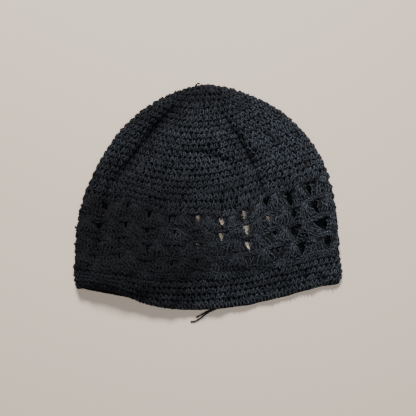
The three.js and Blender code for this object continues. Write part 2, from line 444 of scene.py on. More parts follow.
        fullness = np.maximum(0.0, 1.0 - across * across) ** (0.5 + 0.9 * flattened)
        skew = 1.0 - self.front_skew * across * flattened
        mouth = smoothstep(along, self.crown + self.lace, self.length)
        tuck_at, tuck_wide, tuck_depth = self.tuck
        tuck = mouth * tuck_depth * np.exp(-(((across - tuck_at) / tuck_wide) ** 2))
        tuck = tuck * self.rolled(across, half, self.edge_roll)
        slip_x, slip_left, slip_right, slip_roll, slip_depth = self.slip
        off = np.tanh((slip_x - x) / np.where(x < slip_x, slip_left, slip_right))
        slip = slip_depth * off * flattened * (1.0 - mouth) * self.rolled(across, half, slip_roll)
        shift = np.where(front, tuck, slip + mouth * self.back_rise * fullness)
        y = fold_y - self.through(self.sections, 1, along) * fullness * skew + shift

        bend = np.sqrt(1.0 - (1.0 - np.minimum(1.0, along / self.top_roll)) ** 2)
        settle = self.rolled(across, half, self.back_roll) * bend
        corner = np.where(across < 0.0, *self.corner_lifts) * smoothstep(np.abs(across), *self.corner_span)
        fold = self.fold_height + corner * smoothstep(along, self.crown, self.length)
        back_z = fold + (self.fabric / 2.0 - fold) * settle
        edge_rise = self.rolled(across, half, self.edge_roll)
        belly_rise = self.rolled(across, half, self.belly_roll)
        rise = belly_rise + (edge_rise - belly_rise) * self.edge_share
        stand = sum(
            height * np.exp(-(((x - at_x) / wide) ** 2) - ((y - at_y) / long) ** 2)
            for at_x, at_y, wide, long, height in self.puffs
        )
        stand = stand - sum(crease.dip(x, y) for crease in self.creases)
        stand = stand + sum(h * np.sin(kx * x + ky * y + phase) for kx, ky, phase, h in self.ripples)
        curl_at, curl_lengths, curl_depths = zip(*self.curl)
        edge = np.maximum(0.0, 1.0 - (self.length - along) / np.interp(across, curl_at, curl_lengths)) ** 2
        curl = np.interp(across, curl_at, curl_depths) * edge
        crest = self.through(self.sections, 2, along)
        front_z = fold + rise * (crest + stand * bend - curl)
        return np.stack([x, y, np.where(front, front_z, back_z)], axis=-1)

    def folds(self, places: Array, out: Array) -> Array:
        """Read how deep in the front's creases places are.

        Args:
            places: Places on the cap.
            out: The fabric's outward direction at each.

        Returns:
            Millimetres for each place, 0 on the back.
        """
        dips = sum(crease.dip(places[..., 0], places[..., 1]) for crease in self.creases)
        return np.where(out[..., 2] > 0.0, dips, 0.0)

    def point(self, distance: Array, angle: Array) -> Array:
        """Places on the cap as the rounds count them.

        Args:
            distance: Distances from the crown's centre, which lies behind the top fold.
            angle: Angles round that centre; a quarter turn is the middle of the front.

        Returns:
            The places, three numbers each.
        """
        distance, angle = self.eased(distance, angle)
        behind = self.centre_behind * np.maximum(0.0, 1.0 - (distance / self.crown) ** 2)
        sideways = distance * np.cos(angle)
        forward = distance * np.sin(angle) - behind
        along = np.hypot(sideways, forward)
        return self.folded(along, np.arctan2(np.abs(forward), sideways), forward >= 0.0)

    def basis(self, distance: Array, angle: Array) -> tuple[Array, Array, Array, Array]:
        """Places with the fabric's own directions there.

        Args:
            distance: Distances from the crown's centre.
            angle: Angles round that centre.

        Returns:
            The places, then unit vectors along the round, down towards the mouth, and out of the fabric.
        """
        step = 0.5
        nearest = 4.0
        turned = step / np.maximum(distance, nearest)
        along_round = unit(self.point(distance, angle + turned) - self.point(distance, angle - turned))
        below = self.point(distance + step, angle)
        above = self.point(np.maximum(distance - step, 0.0), angle)
        out = unit(np.cross(along_round, below - above))
        return self.point(distance, angle), along_round, np.cross(out, along_round), out


class Spacing(Enum):
    """How a round's stitches are shared out."""

    ALONG_YARN = "along_yarn"
    BY_ANGLE = "by_angle"


@dataclass
class Course:
    """One round of stitches on the fabric.

    Attributes:
        form: The fabric.
        start: Its distance from the crown's centre.
        depth: Its depth towards the mouth.
        pitch: Millimetres from stitch to stitch, which the round comes close to.
        spacing: How its stitches are shared out.
        samples: Places round the cap where it is measured.
        fewest: The fewest stitches it may have.
        angles: Angles of those places.
        lengths: Length round the cap at each.
    """

    form: CapForm
    start: float
    depth: float
    pitch: float
    spacing: Spacing = Spacing.ALONG_YARN
    samples: int = 1081
    fewest: int = 6
    angles: Array = field(init=False)
    lengths: Array = field(init=False)

    def __post_init__(self) -> None:
        """Measure the middle of the round."""
        self.angles = np.linspace(0.0, TURN, self.samples)
        places = self.form.point(np.full_like(self.angles, self.start + 0.5 * self.depth), self.angles)
        steps = np.linalg.norm(np.diff(places, axis=0), axis=-1)
        self.lengths = np.concatenate([[0.0], np.cumsum(steps)])

    @property
    def stitches(self) -> int:
        """How many stitches the round has."""
        return max(self.fewest, round(self.lengths[-1] / self.pitch))

    @property
    def size(self) -> Array:
        """Millimetres in one stitch width, one round depth and one millimetre."""
        return np.array([self.lengths[-1] / self.stitches, self.depth, 1.0])

    def angle_at(self, stitch: Array) -> Array:
        """Angles round the cap.

        Args:
            stitch: Places counted in stitches; they may run past a whole turn.

        Returns:
            The angle at each place.
        """
        share = stitch / self.stitches
        whole = np.floor(share)
        if self.spacing is Spacing.BY_ANGLE:
            return TURN * share
        return TURN * whole + np.interp((share - whole) * self.lengths[-1], self.lengths, self.angles)


def along(path: Array) -> Array:
    """Return the length along paths at each of their points."""
    steps = np.linalg.norm(np.diff(path, axis=-2), axis=-1)
    return np.concatenate([np.zeros_like(steps[..., :1]), np.cumsum(steps, axis=-1)], axis=-1)


def smoothed(points: Array, steps: int) -> Array:
    """Sample smooth curves through points.

    Args:
        points: Curves by points by three.
        steps: Stretches that each curve is cut into.

    Returns:
        Curves by steps + 1 by three.
    """
    first = 2 * points[..., :1, :] - points[..., 1:2, :]
    last = 2 * points[..., -1:, :] - points[..., -2:-1, :]
    padded = np.concatenate([first, points, last], axis=-2)
    spans = points.shape[-2] - 1
    at = np.linspace(0.0, spans, steps + 1)
    i = np.clip(at.astype(int), 0, spans - 1)
    t = (at - i)[:, None]
    p0, p1, p2, p3 = (padded[..., i + k, :] for k in range(4))
    bent = 2 * p0 - 5 * p1 + 4 * p2 - p3
    cubic = 3 * (p1 - p2) + p3 - p0
    return 0.5 * (2 * p1 + t * (p2 - p0 + t * (bent + t * cubic)))


def transported(path: Array) -> tuple[Array, Array]:
    """Two directions square to paths that don't twist along them.

    Args:
        path: Curves by points by three.

    Returns:
        The two directions at each point.
    """
    tangent = unit(np.gradient(path, axis=-2))
    steep = 0.9
    upright = np.abs(tangent[..., 0, 2:]) > steep
    start = np.where(upright, np.array([1.0, 0.0, 0.0]), np.array([0.0, 0.0, 1.0]))
    side = np.empty_like(path)
    for i in range(path.shape[-2]):
        direction = tangent[..., i, :]
        before = start if i == 0 else side[..., i - 1, :]
        side[..., i, :] = unit(before - (before * direction).sum(-1, keepdims=True) * direction)
    return side, np.cross(tangent, side)


@dataclass(frozen=True)
class YarnRun:
    """A short run of yarn in one stitch's own measures.

    Attributes:
        points: Rows of (across, down, lift): stitch widths, round depths, millimetres out of the fabric.
        radius: The yarn's radius.
        steps: How many stretches the run is cut into.
        buried: Whether the run lies deep in the fabric, out of the light, where it takes the painted deep
            shade.
    """

    points: tuple[Row, ...]
    radius: float
    steps: int = 10
    buried: bool = False

    def copies(self, count: int, wobble: Row, rng: Rng) -> Array:
        """Copies of the run's points, each a little different.

        Args:
            count: How many copies.
            wobble: Spread of the differences across, down and in lift.
            rng: Source of the differences.

        Returns:
            Copies by points by three.
        """
        given = np.array(self.points, dtype=float)
        return given + rng.normal(0.0, 1.0, (count, *given.shape)) * np.array(wobble)


@dataclass
class YarnBatch:
    """Yarn tubes gathered into one mesh.

    Attributes:
        sides: Facets round the yarn.
        unevenness: Spread of the yarn's thickness, as a share.
        nearest: How close to the crown's centre the yarn comes.
        tubes: Points, side faces, end faces, the side faces' places along the yarn, and tones.
        count: Points gathered so far.
    """

    sides: int = 5
    unevenness: float = 0.07
    nearest: float = 0.3
    tubes: list[tuple[Array, ...]] = field(default_factory=list)
    count: int = 0

    def lay(self, course: Course, run: YarnRun, stitch: Array, points: Array, shade: Array, rng: Rng) -> None:
        """Lay copies of a run on the fabric, one in each stitch.

        Args:
            course: The round they belong to.
            run: The run.
            stitch: Each copy's place in the round, in stitches.
            points: Each copy's own points, copies by points by three.
            shade: Each copy's tone, 0 to 1; a buried run takes the painted deep shade instead.
            rng: Source of small differences in thickness.
        """
        path = smoothed(points, run.steps) * course.size
        radius = run.radius * (1.0 + rng.normal(0.0, self.unevenness, len(stitch)))
        side, across = transported(path)
        angle = course.angle_at(stitch[:, None] + path[..., 0] / course.size[0])
        distance = np.maximum(course.start + path[..., 1], self.nearest)
        places, along_round, down, out = course.form.basis(distance, angle)
        line = places + path[..., 2:] * out
        line[..., 2] = np.maximum(line[..., 2], radius[:, None])
        middle = places.shape[1] // 2
        # Buried yarn takes the painted deep shade in place of its own tone.
        tone = np.where(run.buried, DEEP_PAINTED_SHADE, shade)
        # Painted shade: yarn in the front's creases is darkened by their depth.
        tone = tone - CREASE_SHADE * course.form.folds(places[:, middle], out[:, middle])
        axes = np.stack([along_round, down, out], axis=-2)
        world = [np.einsum("nki,nkij->nkj", local, axes) for local in (side, across)]
        self.tube(line, *world, radius, along(path), tone)

    def tube(
        self, line: Array, side: Array, across: Array, radius: Array, lengths: Array, shade: Array
    ) -> None:
        """Add tubes round lines.

        Args:
            line: Centre points, copies by points by three.
            side: A direction square to each line, of the same shape.
            across: The direction square to both, of the same shape.
            radius: One radius for each copy.
            lengths: Length along each line at each point.
            shade: A tone for each copy.
        """
        copies, steps, _ = line.shape
        turn = TURN * np.arange(self.sides) / self.sides
        ring = np.cos(turn)[:, None] * side[:, :, None, :] + np.sin(turn)[:, None] * across[:, :, None, :]
        points = line[:, :, None, :] + radius[:, None, None, None] * ring
        i, j = np.meshgrid(np.arange(steps - 1), np.arange(self.sides), indexing="ij")
        near = i * self.sides
        far = near + self.sides
        following = (j + 1) % self.sides
        quad = np.stack([near + j, near + following, far + following, far + j], axis=-1).reshape(-1, 4)
        ends = np.stack([np.arange(self.sides)[::-1], (steps - 1) * self.sides + np.arange(self.sides)])
        base = self.count + np.arange(copies)[:, None, None] * steps * self.sides
        around = np.stack([j, j + 1, j + 1, j], axis=-1).reshape(-1, 4) / self.sides
        ends_of = [lengths[:, i], lengths[:, i], lengths[:, i + 1], lengths[:, i + 1]]
        run = np.stack(ends_of, axis=-1).reshape(copies, -1, 4)
        uv = np.stack([run, np.broadcast_to(around, run.shape)], axis=-1)
        faces = ((quad + base).reshape(-1, 4), (ends + base).reshape(-1, self.sides))
        tones = np.repeat(shade, steps * self.sides)
        self.tubes.append((points.reshape(-1, 3), *faces, uv.reshape(-1, 2), tones))
        self.count += copies * steps * self.sides

    def to_object(self, name: str) -> Piece:
        """Make the gathered tubes one object.

        Args:
            name: The object's name.

        Returns:
            The new object, at the origin.
        """
        points, quads, caps, uv, tones = (np.concatenate(kind) for kind in zip(*self.tubes))
        uv = np.concatenate([uv, np.zeros((caps.size, 2))])
        corners = np.concatenate([quads.ravel(), caps.ravel()])
        cap_starts = quads.size + self.sides * np.arange(len(caps))
        starts = np.concatenate([4 * np.arange(len(quads)), cap_starts])
        mesh = bpy.data.meshes.new(name)
        mesh.vertices.add(len(points))
        mesh.vertices.foreach_set("co", (points * MM).astype(np.float32).ravel())
        mesh.loops.add(len(corners))
        mesh.loops.foreach_set("vertex_index", corners.astype(np.int32))
        mesh.polygons.add(len(starts))
        mesh.polygons.foreach_set("loop_start", starts.astype(np.int32))
        mesh.update(calc_edges=True)
        layer = mesh.uv_layers.new(name="yarn")
        layer.data.foreach_set("uv", uv.astype(np.float32).ravel())
        tone = mesh.attributes.new("shade", "FLOAT", "POINT")
        tone.data.foreach_set("value", tones.astype(np.float32))
        mesh.shade_smooth()
        made = bpy.data.objects.new(name, mesh)
        bpy.context.scene.collection.objects.link(made)
        return made


def dress(batch: YarnBatch, name: str, finish: Material, zone: Zone) -> Piece:
    """Make gathered yarn a piece of the cap.

    Args:
        batch: The yarn.
        name: The piece's name.
        finish: Its material.
        zone: The CAD node that it stands for.

    Returns:
        The piece.
    """
    piece = batch.to_object(name)
    piece.data.materials.append(finish)
    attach(piece, "root")
    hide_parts(zone.value)
    return piece


@dataclass(frozen=True)
class Nodes:
    """A node tree with short ways to add to it.

    Attributes:
        tree: The tree.
    """

    tree: Tree

    def feed(self, node: bpy.types.Node, inputs: Inputs) -> None:
        """Link or set a node's inputs.

        Args:
            node: The node.
            inputs: A socket to link from or a value to set, by input.
        """
        for key, source in inputs.items():
            if isinstance(source, Socket):
                self.tree.links.new(source, node.inputs[key])
            else:
                node.inputs[key].default_value = source

    def add(self, kind: str, inputs: Inputs | None = None, **settings: object) -> bpy.types.Node:
        """Add a node.

        Args:
            kind: The node's type name without its prefix.
            inputs: What its inputs take.
            **settings: The node's settings.

        Returns:
            The node.
        """
        node = self.tree.nodes.new("ShaderNode" + kind)
        for key, value in settings.items():
            setattr(node, key, value)
        self.feed(node, inputs or {})
        return node

    def math(self, operation: str, *values: Socket | float) -> Socket:
        """Add a Math node and return its result."""
        return self.add("Math", dict(enumerate(values)), operation=operation).outputs[0]

    def scale(self, value: Socket, by: Socket | float, plus: Socket | float) -> Socket:
        """Multiply a value, add to it and return the result."""
        return self.math("MULTIPLY_ADD", value, by, plus)

    def beyond(self, value: Socket, by: float, plus: float) -> Socket:
        """Scale a value, raise what is negative to 0 and return the result."""
        return self.math("MAXIMUM", self.scale(value, by, plus), 0.0)

    def noise(self, place: Socket, scale: float) -> Socket:
        """Add noise of three octaves and return its value."""
        return self.add("TexNoise", {"Vector": place, "Scale": scale, "Detail": 3.0}).outputs[0]


class EffectGroup(Enum):
    """Shader node groups that more than one finish uses."""

    TWIST = "yarn_twist"
    PAINTED_LIGHT_AND_BLOTCH = "painted_light_and_blotches"

    def tree(self) -> Tree:
        """Find the group's tree, or build it at its first use.

        Returns:
            The tree.
        """
        found = bpy.data.node_groups.get(self.value)
        if found:
            return found
        made = bpy.data.node_groups.new(self.value, "ShaderNodeTree")
        build = self.build_twist if self is EffectGroup.TWIST else self.build_painted_light
        build(made)
        return made

    @staticmethod
    def build_twist(tree: Tree) -> None:
        """Fill the group that draws plies and fibres along the yarn.

        Args:
            tree: The group's empty tree.
        """
        for name, kind in (("Yarn", "Vector"), ("Plies", "Float"), ("Lay", "Float")):
            tree.interface.new_socket(name, in_out="INPUT", socket_type="NodeSocket" + kind)
        for name in ("Ridge", "Fibre"):
            tree.interface.new_socket(name, in_out="OUTPUT", socket_type="NodeSocketFloat")
        fibres_around = 2.2
        fibres_along = 0.6
        nodes = Nodes(tree)
        given = tree.nodes.new("NodeGroupInput").outputs
        length, around, _ = nodes.add("SeparateXYZ", {0: given["Yarn"]}).outputs
        turns = nodes.math("DIVIDE", length, given["Lay"])
        phase = nodes.math("ADD", nodes.math("MULTIPLY", around, given["Plies"]), turns)
        wave = nodes.math("SINE", nodes.math("MULTIPLY", phase, TURN))
        across = nodes.math("MULTIPLY", phase, fibres_around)
        place = nodes.add("CombineXYZ", {0: across, 1: nodes.math("MULTIPLY", length, fibres_along)})
        fibre = nodes.noise(place.outputs[0], 3.0)
        nodes.feed(tree.nodes.new("NodeGroupOutput"), {"Ridge": nodes.scale(wave, 0.5, 0.5), "Fibre": fibre})

    @staticmethod
    def build_painted_light(tree: Tree) -> None:
        """Fill the group that paints slow changes of light and shade into the tone, paler to the right,
        darkest at the lower left, with random blotches on top.

        Args:
            tree: The group's empty tree.
        """
        tree.interface.new_socket("Place", in_out="INPUT", socket_type="NodeSocketVector")
        tree.interface.new_socket("Fade", in_out="OUTPUT", socket_type="NodeSocketFloat")
        nodes = Nodes(tree)
        place = tree.nodes.new("NodeGroupInput").outputs["Place"]
        x, y, _ = nodes.add("SeparateXYZ", {0: place}).outputs
        # Painted light and shade: paler to the right and towards the top, darker on the crown's top, darkest
        # at the lower left, paler at the mouth.
        painted_light = nodes.scale(y, 5.0, nodes.math("MULTIPLY", x, 4.2))
        top = nodes.beyond(y, 1.0, -0.045)
        lower_left = nodes.math("MULTIPLY", nodes.beyond(x, -1.0, -0.02), nodes.beyond(y, -1.0, 0.03))
        mouth = nodes.beyond(y, -1.0, -0.055)
        for region, strength in ((top, -14.5), (lower_left, -33.0), (mouth, 17.0)):
            painted_light = nodes.scale(region, strength, painted_light)
        light_and_blotches = nodes.math("ADD", nodes.noise(place, 28.0), painted_light)
        # fade holds the painted light and shade together with the random blotches.
        fade = nodes.add("MapRange", {0: light_and_blotches, 1: 0.12, 2: 0.80})
        nodes.feed(tree.nodes.new("NodeGroupOutput"), {"Fade": fade.outputs[0]})


@dataclass(frozen=True)
class CottonFinish:
    """Matt spun cotton yarn.

    Attributes:
        name: The material's name.
        deep: Colour of the grooves' painted shade and of dark stitches.
        lit: Colour on the ridges and on light stitches.
        plies: Strands twisted into the yarn.
        lay: Length of one turn of the twist, in millimetres.
        sheen: Strength of the soft fibre glow.
        base_light: Lightness of a ridge before fibres and tone.
        fibre_light: What the fibres add.
        tone_light: What the stitch's tone adds.
        light_and_blotch_base: The darkest part's share of that lightness, under the painted light and shade
            and the blotches.
        light_and_blotch_span: What the palest part has more.
        rough: Roughness between the fibres.
        rough_span: What the fibres add.
        bump_depth: Height of the plies' relief, in metres.
    """

    name: str
    deep: Row = (0.0030, 0.0029, 0.0039, 1.0)
    lit: Row = (0.0690, 0.0820, 0.1045, 1.0)
    plies: float = -2.0
    lay: float = 3.4
    sheen: float = 0.03
    base_light: float = 0.10
    fibre_light: float = 0.5
    tone_light: float = 0.35
    light_and_blotch_base: float = 0.18
    light_and_blotch_span: float = 1.12
    rough: float = 0.72
    rough_span: float = 0.2
    bump_depth: float = 0.0004

    def build(self) -> Material:
        """Make the material.

        Returns:
            The material with its nodes.
        """
        material = bpy.data.materials.new(self.name)
        material.use_nodes = True
        nodes = Nodes(material.node_tree)
        strand = {"Yarn": nodes.add("UVMap", uv_map="yarn").outputs[0], "Plies": self.plies, "Lay": self.lay}
        twist = nodes.add("Group", strand, node_tree=EffectGroup.TWIST.tree()).outputs
        place = nodes.add("TexCoord").outputs["Object"]
        # The group paints light and shade into the tone, with random blotches; fade carries both.
        fade = nodes.add("Group", {"Place": place}, node_tree=EffectGroup.PAINTED_LIGHT_AND_BLOTCH.tree()).outputs["Fade"]
        # The stitch's tone: random, and lowered by the painted shade of buried yarn and of creases.
        tone = nodes.add("Attribute", attribute_name="shade").outputs["Fac"]
        light = nodes.scale(twist["Fibre"], self.fibre_light, self.base_light)
        light = nodes.scale(tone, self.tone_light, light)
        light = nodes.math("MULTIPLY", light, nodes.scale(fade, self.light_and_blotch_span, self.light_and_blotch_base))
        # Painted shade: the ply grooves between the ridges darken towards the deep colour.
        light = nodes.math("MULTIPLY", light, twist["Ridge"])
        colours = nodes.add("Mix", {0: light, 6: self.deep, 7: self.lit}, data_type="RGBA")
        height = nodes.scale(twist["Fibre"], 0.5, twist["Ridge"])
        bump = nodes.add("Bump", {"Strength": 1.0, "Distance": self.bump_depth, "Height": height})
        surface = {
            "Base Color": colours.outputs[2],
            "Roughness": nodes.scale(twist["Fibre"], self.rough_span, self.rough),
            "Specular IOR Level": 0.1,
            "Sheen Weight": self.sheen,
            "Sheen Roughness": 0.45,
            "Sheen Tint": (0.75, 0.85, 1.0, 1.0),
            "Normal": bump.outputs[0],
        }
        nodes.feed(material.node_tree.nodes["Principled BSDF"], surface)
        return material


@dataclass(frozen=True)
class SingleCrochet:
    """One single crochet: two leaning legs, its top chain and the bars behind.

    Attributes:
        width: Millimetres from stitch to stitch.
        lean: Stitch widths that each round moves on from the last.
        round_spread: Spread of the rounds' starts, in stitches.
        stitch_spread: Spread of the stitches' places, in stitches.
        wobble: Spread of a hand's unevenness across, down and in lift.
        relief: How boldly the yarn stands out, 1 for a plain stitch.
        valley: How far the stitches sink where two rounds meet.
    """

    width: float = 4.1
    lean: float = 0.29
    round_spread: float = 0.14
    stitch_spread: float = 0.09
    wobble: Row = (0.09, 0.07, 0.22)
    relief: float = 1.0
    valley: float = 0.4
    runs: tuple[YarnRun, ...] = (
        YarnRun(
            (
                (-0.46, 1.00, -0.85), (-0.42, 0.82, 0.10), (-0.31, 0.55, 0.50), (-0.16, 0.26, 0.60),
                (-0.06, 0.00, 0.35), (-0.05, -0.17, -0.65),
            ),
            radius=0.66,
            steps=8,
        ),
        YarnRun(
            (
                (0.46, 1.00, -0.95), (0.40, 0.80, 0.00), (0.29, 0.52, 0.40), (0.19, 0.24, 0.46),
                (0.14, 0.02, 0.20), (0.12, -0.15, -0.75),
            ),
            radius=0.63,
            steps=8,
        ),
        YarnRun(
            (
                (-0.42, 0.40, -0.70), (-0.20, 0.48, 0.20), (0.06, 0.55, 0.35), (0.28, 0.63, 0.15),
                (0.52, 0.78, -0.60),
            ),
            radius=0.52,
            steps=6,
        ),
        # The bars behind are buried, so they take the painted deep shade.
        YarnRun(((0.62, 0.30, -1.1), (0.0, 0.20, -1.0), (-0.62, 0.30, -1.1)), 1.0, steps=2, buried=True),
        YarnRun(((0.62, 0.80, -1.1), (0.0, 0.72, -1.1), (-0.62, 0.80, -1.1)), 1.0, steps=2, buried=True),
    )

    def work(self, batch: YarnBatch, course: Course, index: int, rng: Rng) -> None:
        """Work one round of stitches.

        Args:
            batch: Where the yarn goes.
            course: The round.
            index: The round's number, which sets where its stitches start.
            rng: Source of small differences between stitches.
        """
        count = course.stitches
        place = np.arange(count) + self.lean * index + rng.normal(0.0, self.round_spread)
        place = place + rng.normal(0.0, self.stitch_spread, count)
        shade = rng.random(count)
        for run in self.runs:
            points = run.copies(count, self.wobble, rng)
            sink = self.valley * np.abs(2.0 * points[..., 1] - 1.0) ** 3
            points[..., 2] = self.relief * points[..., 2] - sink
            batch.lay(course, run, place, points, shade, rng)


@dataclass
class Crown:
    """The closed rounds from the crown's centre to the lace.

    Attributes:
        form: The fabric.
        rounds: How many rounds each piece has, from the centre outwards.
        easing: How much the rounds deepen outwards, as a share of their depth either way.
        stitch: The stitch they are worked in.
        seed: Start of the small differences.
    """

    form: CapForm
    rounds: tuple[int, ...] = (14, 6, 6)
    easing: float = 0.09
    stitch: SingleCrochet = SingleCrochet()
    seed: int = 12

    def build(self, finish: Material) -> list[Piece]:
        """Work the crown.

        Args:
            finish: The yarn's material.

        Returns:
            The pieces, from the centre outwards.
        """
        rng = np.random.default_rng(self.seed)
        share = np.linspace(0.0, 1.0, sum(self.rounds) + 1)
        edges = self.form.crown * (share - self.easing * share * (1.0 - share))
        numbered = enumerate(zip(edges, np.diff(edges)))
        made = []
        for number, rounds in enumerate(self.rounds, start=1):
            batch = YarnBatch()
            for index, (start, depth) in islice(numbered, rounds):
                self.stitch.work(batch, Course(self.form, start, depth, self.stitch.width), index, rng)
            made.append(dress(batch, f"crown_rounds_{number}", finish, Zone.CROWN))
        return made


@dataclass
class LaceBand:
    """The openwork band: rounds of fans of tall stitches, stacked in columns with holes between them.

    Attributes:
        form: The fabric.
        rounds: Rounds of fans.
        posts: Tall stitches in a fan.
        strand: Radius of a post.
        core: Radius of the strands behind the links.
        backing: Radius of the posts behind the posts.
        sunk: How far behind the posts those lie.
        reach: Where a post starts and ends, in rounds.
        backing_reach: Where a post behind the posts does.
        shoulder: A fan's rise at its foot and head, as a share of its middle's.
        bulge: What is added to that share half-way.
        link: Radius of a link of chain.
        over: Radius of a wrap.
        puff: How far a fan's middle stands out.
        gather: Share of the fan's width that its posts draw together at their feet.
        tilt: Spread of the feet's places from fan to fan, in fans.
        wobble: Spread of a hand's unevenness across, down and in lift.
        slant: Rows of (across, down, lift) of a wrap, from the place on the post that it goes over.
        seed: Start of the small differences.
    """

    form: CapForm
    rounds: int = 4
    posts: int = 8
    strand: float = 0.72
    core: float = 1.2
    backing: float = 1.5
    sunk: float = 1.45
    reach: Row = (-0.06, 1.02)
    backing_reach: Row = (-0.12, 1.08)
    shoulder: float = 0.72
    bulge: float = 0.28
    link: float = 0.56
    over: float = 0.58
    puff: float = 2.8
    gather: float = 0.62
    tilt: float = 0.16
    wobble: Row = (0.018, 0.018, 0.18)
    slant: tuple[Row, ...] = (
        (0.09, -0.11, -0.7),
        (0.045, -0.05, 0.5),
        (-0.045, 0.05, 0.5),
        (-0.09, 0.11, -0.7),
    )
    seed: int = 31

    @property
    def fans(self) -> int:
        """Fans in a round."""
        return len(ALL_COLUMNS)

    def sides(self, down: Array, index: int, width: float) -> tuple[Array, Array]:
        """The two edges of each fan in a round.

        Args:
            down: Places from a fan's foot at 0 to its head at 1.
            index: The round's number.
            width: Millimetres in one fan.

        Returns:
            Both edges at each place, fans by places, in fans from the middle.
        """
        narrow = 0.9
        widening = 1.8
        shortest = 0.38
        middle = 0.26
        half_height = 0.56
        foot = 0.1
        point = 0.85
        slit = 0.12
        halves = np.array([column.halves[index] for column in ALL_COLUMNS])[:, None]
        tall = np.clip((halves - narrow) / widening, shortest, 1.0)
        rounded = np.sqrt(np.maximum(0.0, 1.0 - ((down - middle) / (half_height * tall)) ** 2))
        pointed = 1.0 - smoothstep((down - foot) / tall, 0.0, point)
        opening = np.where(halves < 0.0, 1.0, slit + 0.5 * (rounded + pointed))
        margin = (self.strand + halves * opening) / width
        return margin - 0.5, 0.5 - np.roll(margin, -1, axis=0)

    def rise(self, across: float) -> float:
        """Return how far a fan stands out at a share of its width."""
        return self.puff * max(0.0, 4.0 * across * (1.0 - across)) ** 0.7

    def post_points(self, post: float, index: int, width: float, buried: bool, lean: Array) -> Array:
        """Points of one post in every fan of a round.

        Args:
            post: The post's place, 0 at one edge of the fan and 1 at the other.
            index: The round's number.
            width: Millimetres in one fan.
            buried: Whether the post lies behind the others, where nothing gathers it.
            lean: How far each fan's foot lies to one side, in fans.

        Returns:
            Fans by points by three.
        """
        places = 8
        swell = 0.3
        settling = 0.25
        gathered_to = 0.65
        down = np.linspace(*(self.backing_reach if buried else self.reach), places)
        inside = np.clip(down, 0.0, 1.0)
        low, high = self.sides(inside, index, width)
        arch = np.sin(np.pi * inside)
        rounded = self.rise(post) * (self.shoulder + self.bulge * arch) - self.puff / 4.0
        dip = 0.10 + 0.9 * (2.0 * post - 1.0) ** 2
        ends = swell * arch - dip * ((1.0 - inside) ** 5 + inside**6) - settling
        inner = 0.0 if buried else 1.0 - abs(2.0 * post - 1.0) ** 4
        gather = self.gather * inner * (1.0 - smoothstep(inside, 0.0, gathered_to))
        place = post + (0.5 - post) * gather + inner * lean[:, None] * (1.0 - inside)
        across = low + (high - low) * place
        lift = (-self.sunk if buried else 0.0) + rounded + ends
        return np.stack(np.broadcast_arrays(across, down, lift), axis=-1)

    def link_runs(self) -> list[YarnRun]:
        """The links of chain along a fan's head.

        Returns:
            For each post, two links and the strand behind them.
        """
        runs = []
        pitch = 1.0 / self.posts
        chain = ((-0.35, 0.07, -0.6), (0.25, 0.02, 0.0), (0.75, -0.02, 0.0), (1.35, -0.07, -0.6))
        for link in range(self.posts):
            left = -0.5 + pitch * link
            stand = self.shoulder * self.rise(pitch * (link + 0.5)) - self.puff / 4.0
            for low, lift in ((0.94, stand - 0.15), (1.06, stand - 0.25)):
                points = tuple((left + pitch * s, low + slope, lift + bend) for s, slope, bend in chain)
                runs.append(YarnRun(points, self.link, steps=4))
            under = tuple((left + pitch * s, 1.0, stand - 1.1) for s in (-0.1, 0.5, 1.1))
            # The strand behind the links takes the painted deep shade.
            runs.append(YarnRun(under, self.core, steps=2, buried=True))
        return runs

    def work(self, batch: YarnBatch, index: int, rng: Rng) -> None:
        """Work one round of fans.

        Args:
            batch: Where the yarn goes.
            index: The round's number.
            rng: Source of small differences between fans.
        """
        depth = self.form.lace / self.rounds
        start = self.form.crown + depth * index
        girth = Course(self.form, start, depth, 1.0).lengths[-1]
        course = Course(self.form, start, depth, girth / self.fans, Spacing.BY_ANGLE)
        width = float(course.size[0])
        place = np.arange(self.fans) + 0.5
        lean = rng.normal(0.0, self.tilt, self.fans)
        for post in range(2 * self.posts - 1):
            buried = post % 2 == 1
            points = self.post_points(post / (2 * self.posts - 2), index, width, buried, lean)
            # Posts behind the others take the painted deep shade, which darkens the holes.
            run = YarnRun((), self.backing, 4, buried) if buried else YarnRun((), self.strand, 9)
            uneven = points + rng.normal(0.0, 1.0, points.shape) * np.array(self.wobble)
            batch.lay(course, run, place, uneven, rng.random(self.fans), rng)
            if not buried:
                self.wrap(batch, course, place, points, rng)
        for run in self.link_runs():
            points = run.copies(self.fans, self.wobble, rng)
            batch.lay(course, run, place, points, rng.random(self.fans), rng)

    def wrap(self, batch: YarnBatch, course: Course, place: Array, points: Array, rng: Rng) -> None:
        """Lay a slanting wrap over a post in every fan of a round.

        Args:
            batch: Where the yarn goes.
            course: The round.
            place: The fans' places in the round.
            points: The post's points, fans by points by three.
            rng: Source of the wraps' places.
        """
        at = rng.integers(2, 6, self.fans)
        middle = points[np.arange(self.fans), at][:, None, :]
        run = YarnRun(self.slant, self.over, steps=4)
        uneven = middle + run.copies(self.fans, self.wobble, rng)
        batch.lay(course, run, place, uneven, rng.random(self.fans), rng)

    def build(self, finish: Material) -> list[Piece]:
        """Work the band.

        Args:
            finish: The yarn's material.

        Returns:
            One piece for each two rounds.
        """
        rng = np.random.default_rng(self.seed)
        made = []
        for number, rounds in enumerate(np.array_split(np.arange(self.rounds), 2), start=1):
            batch = YarnBatch()
            for index in rounds:
                self.work(batch, int(index), rng)
            made.append(dress(batch, f"lace_rounds_{number}", finish, Zone.LACE))
        return made


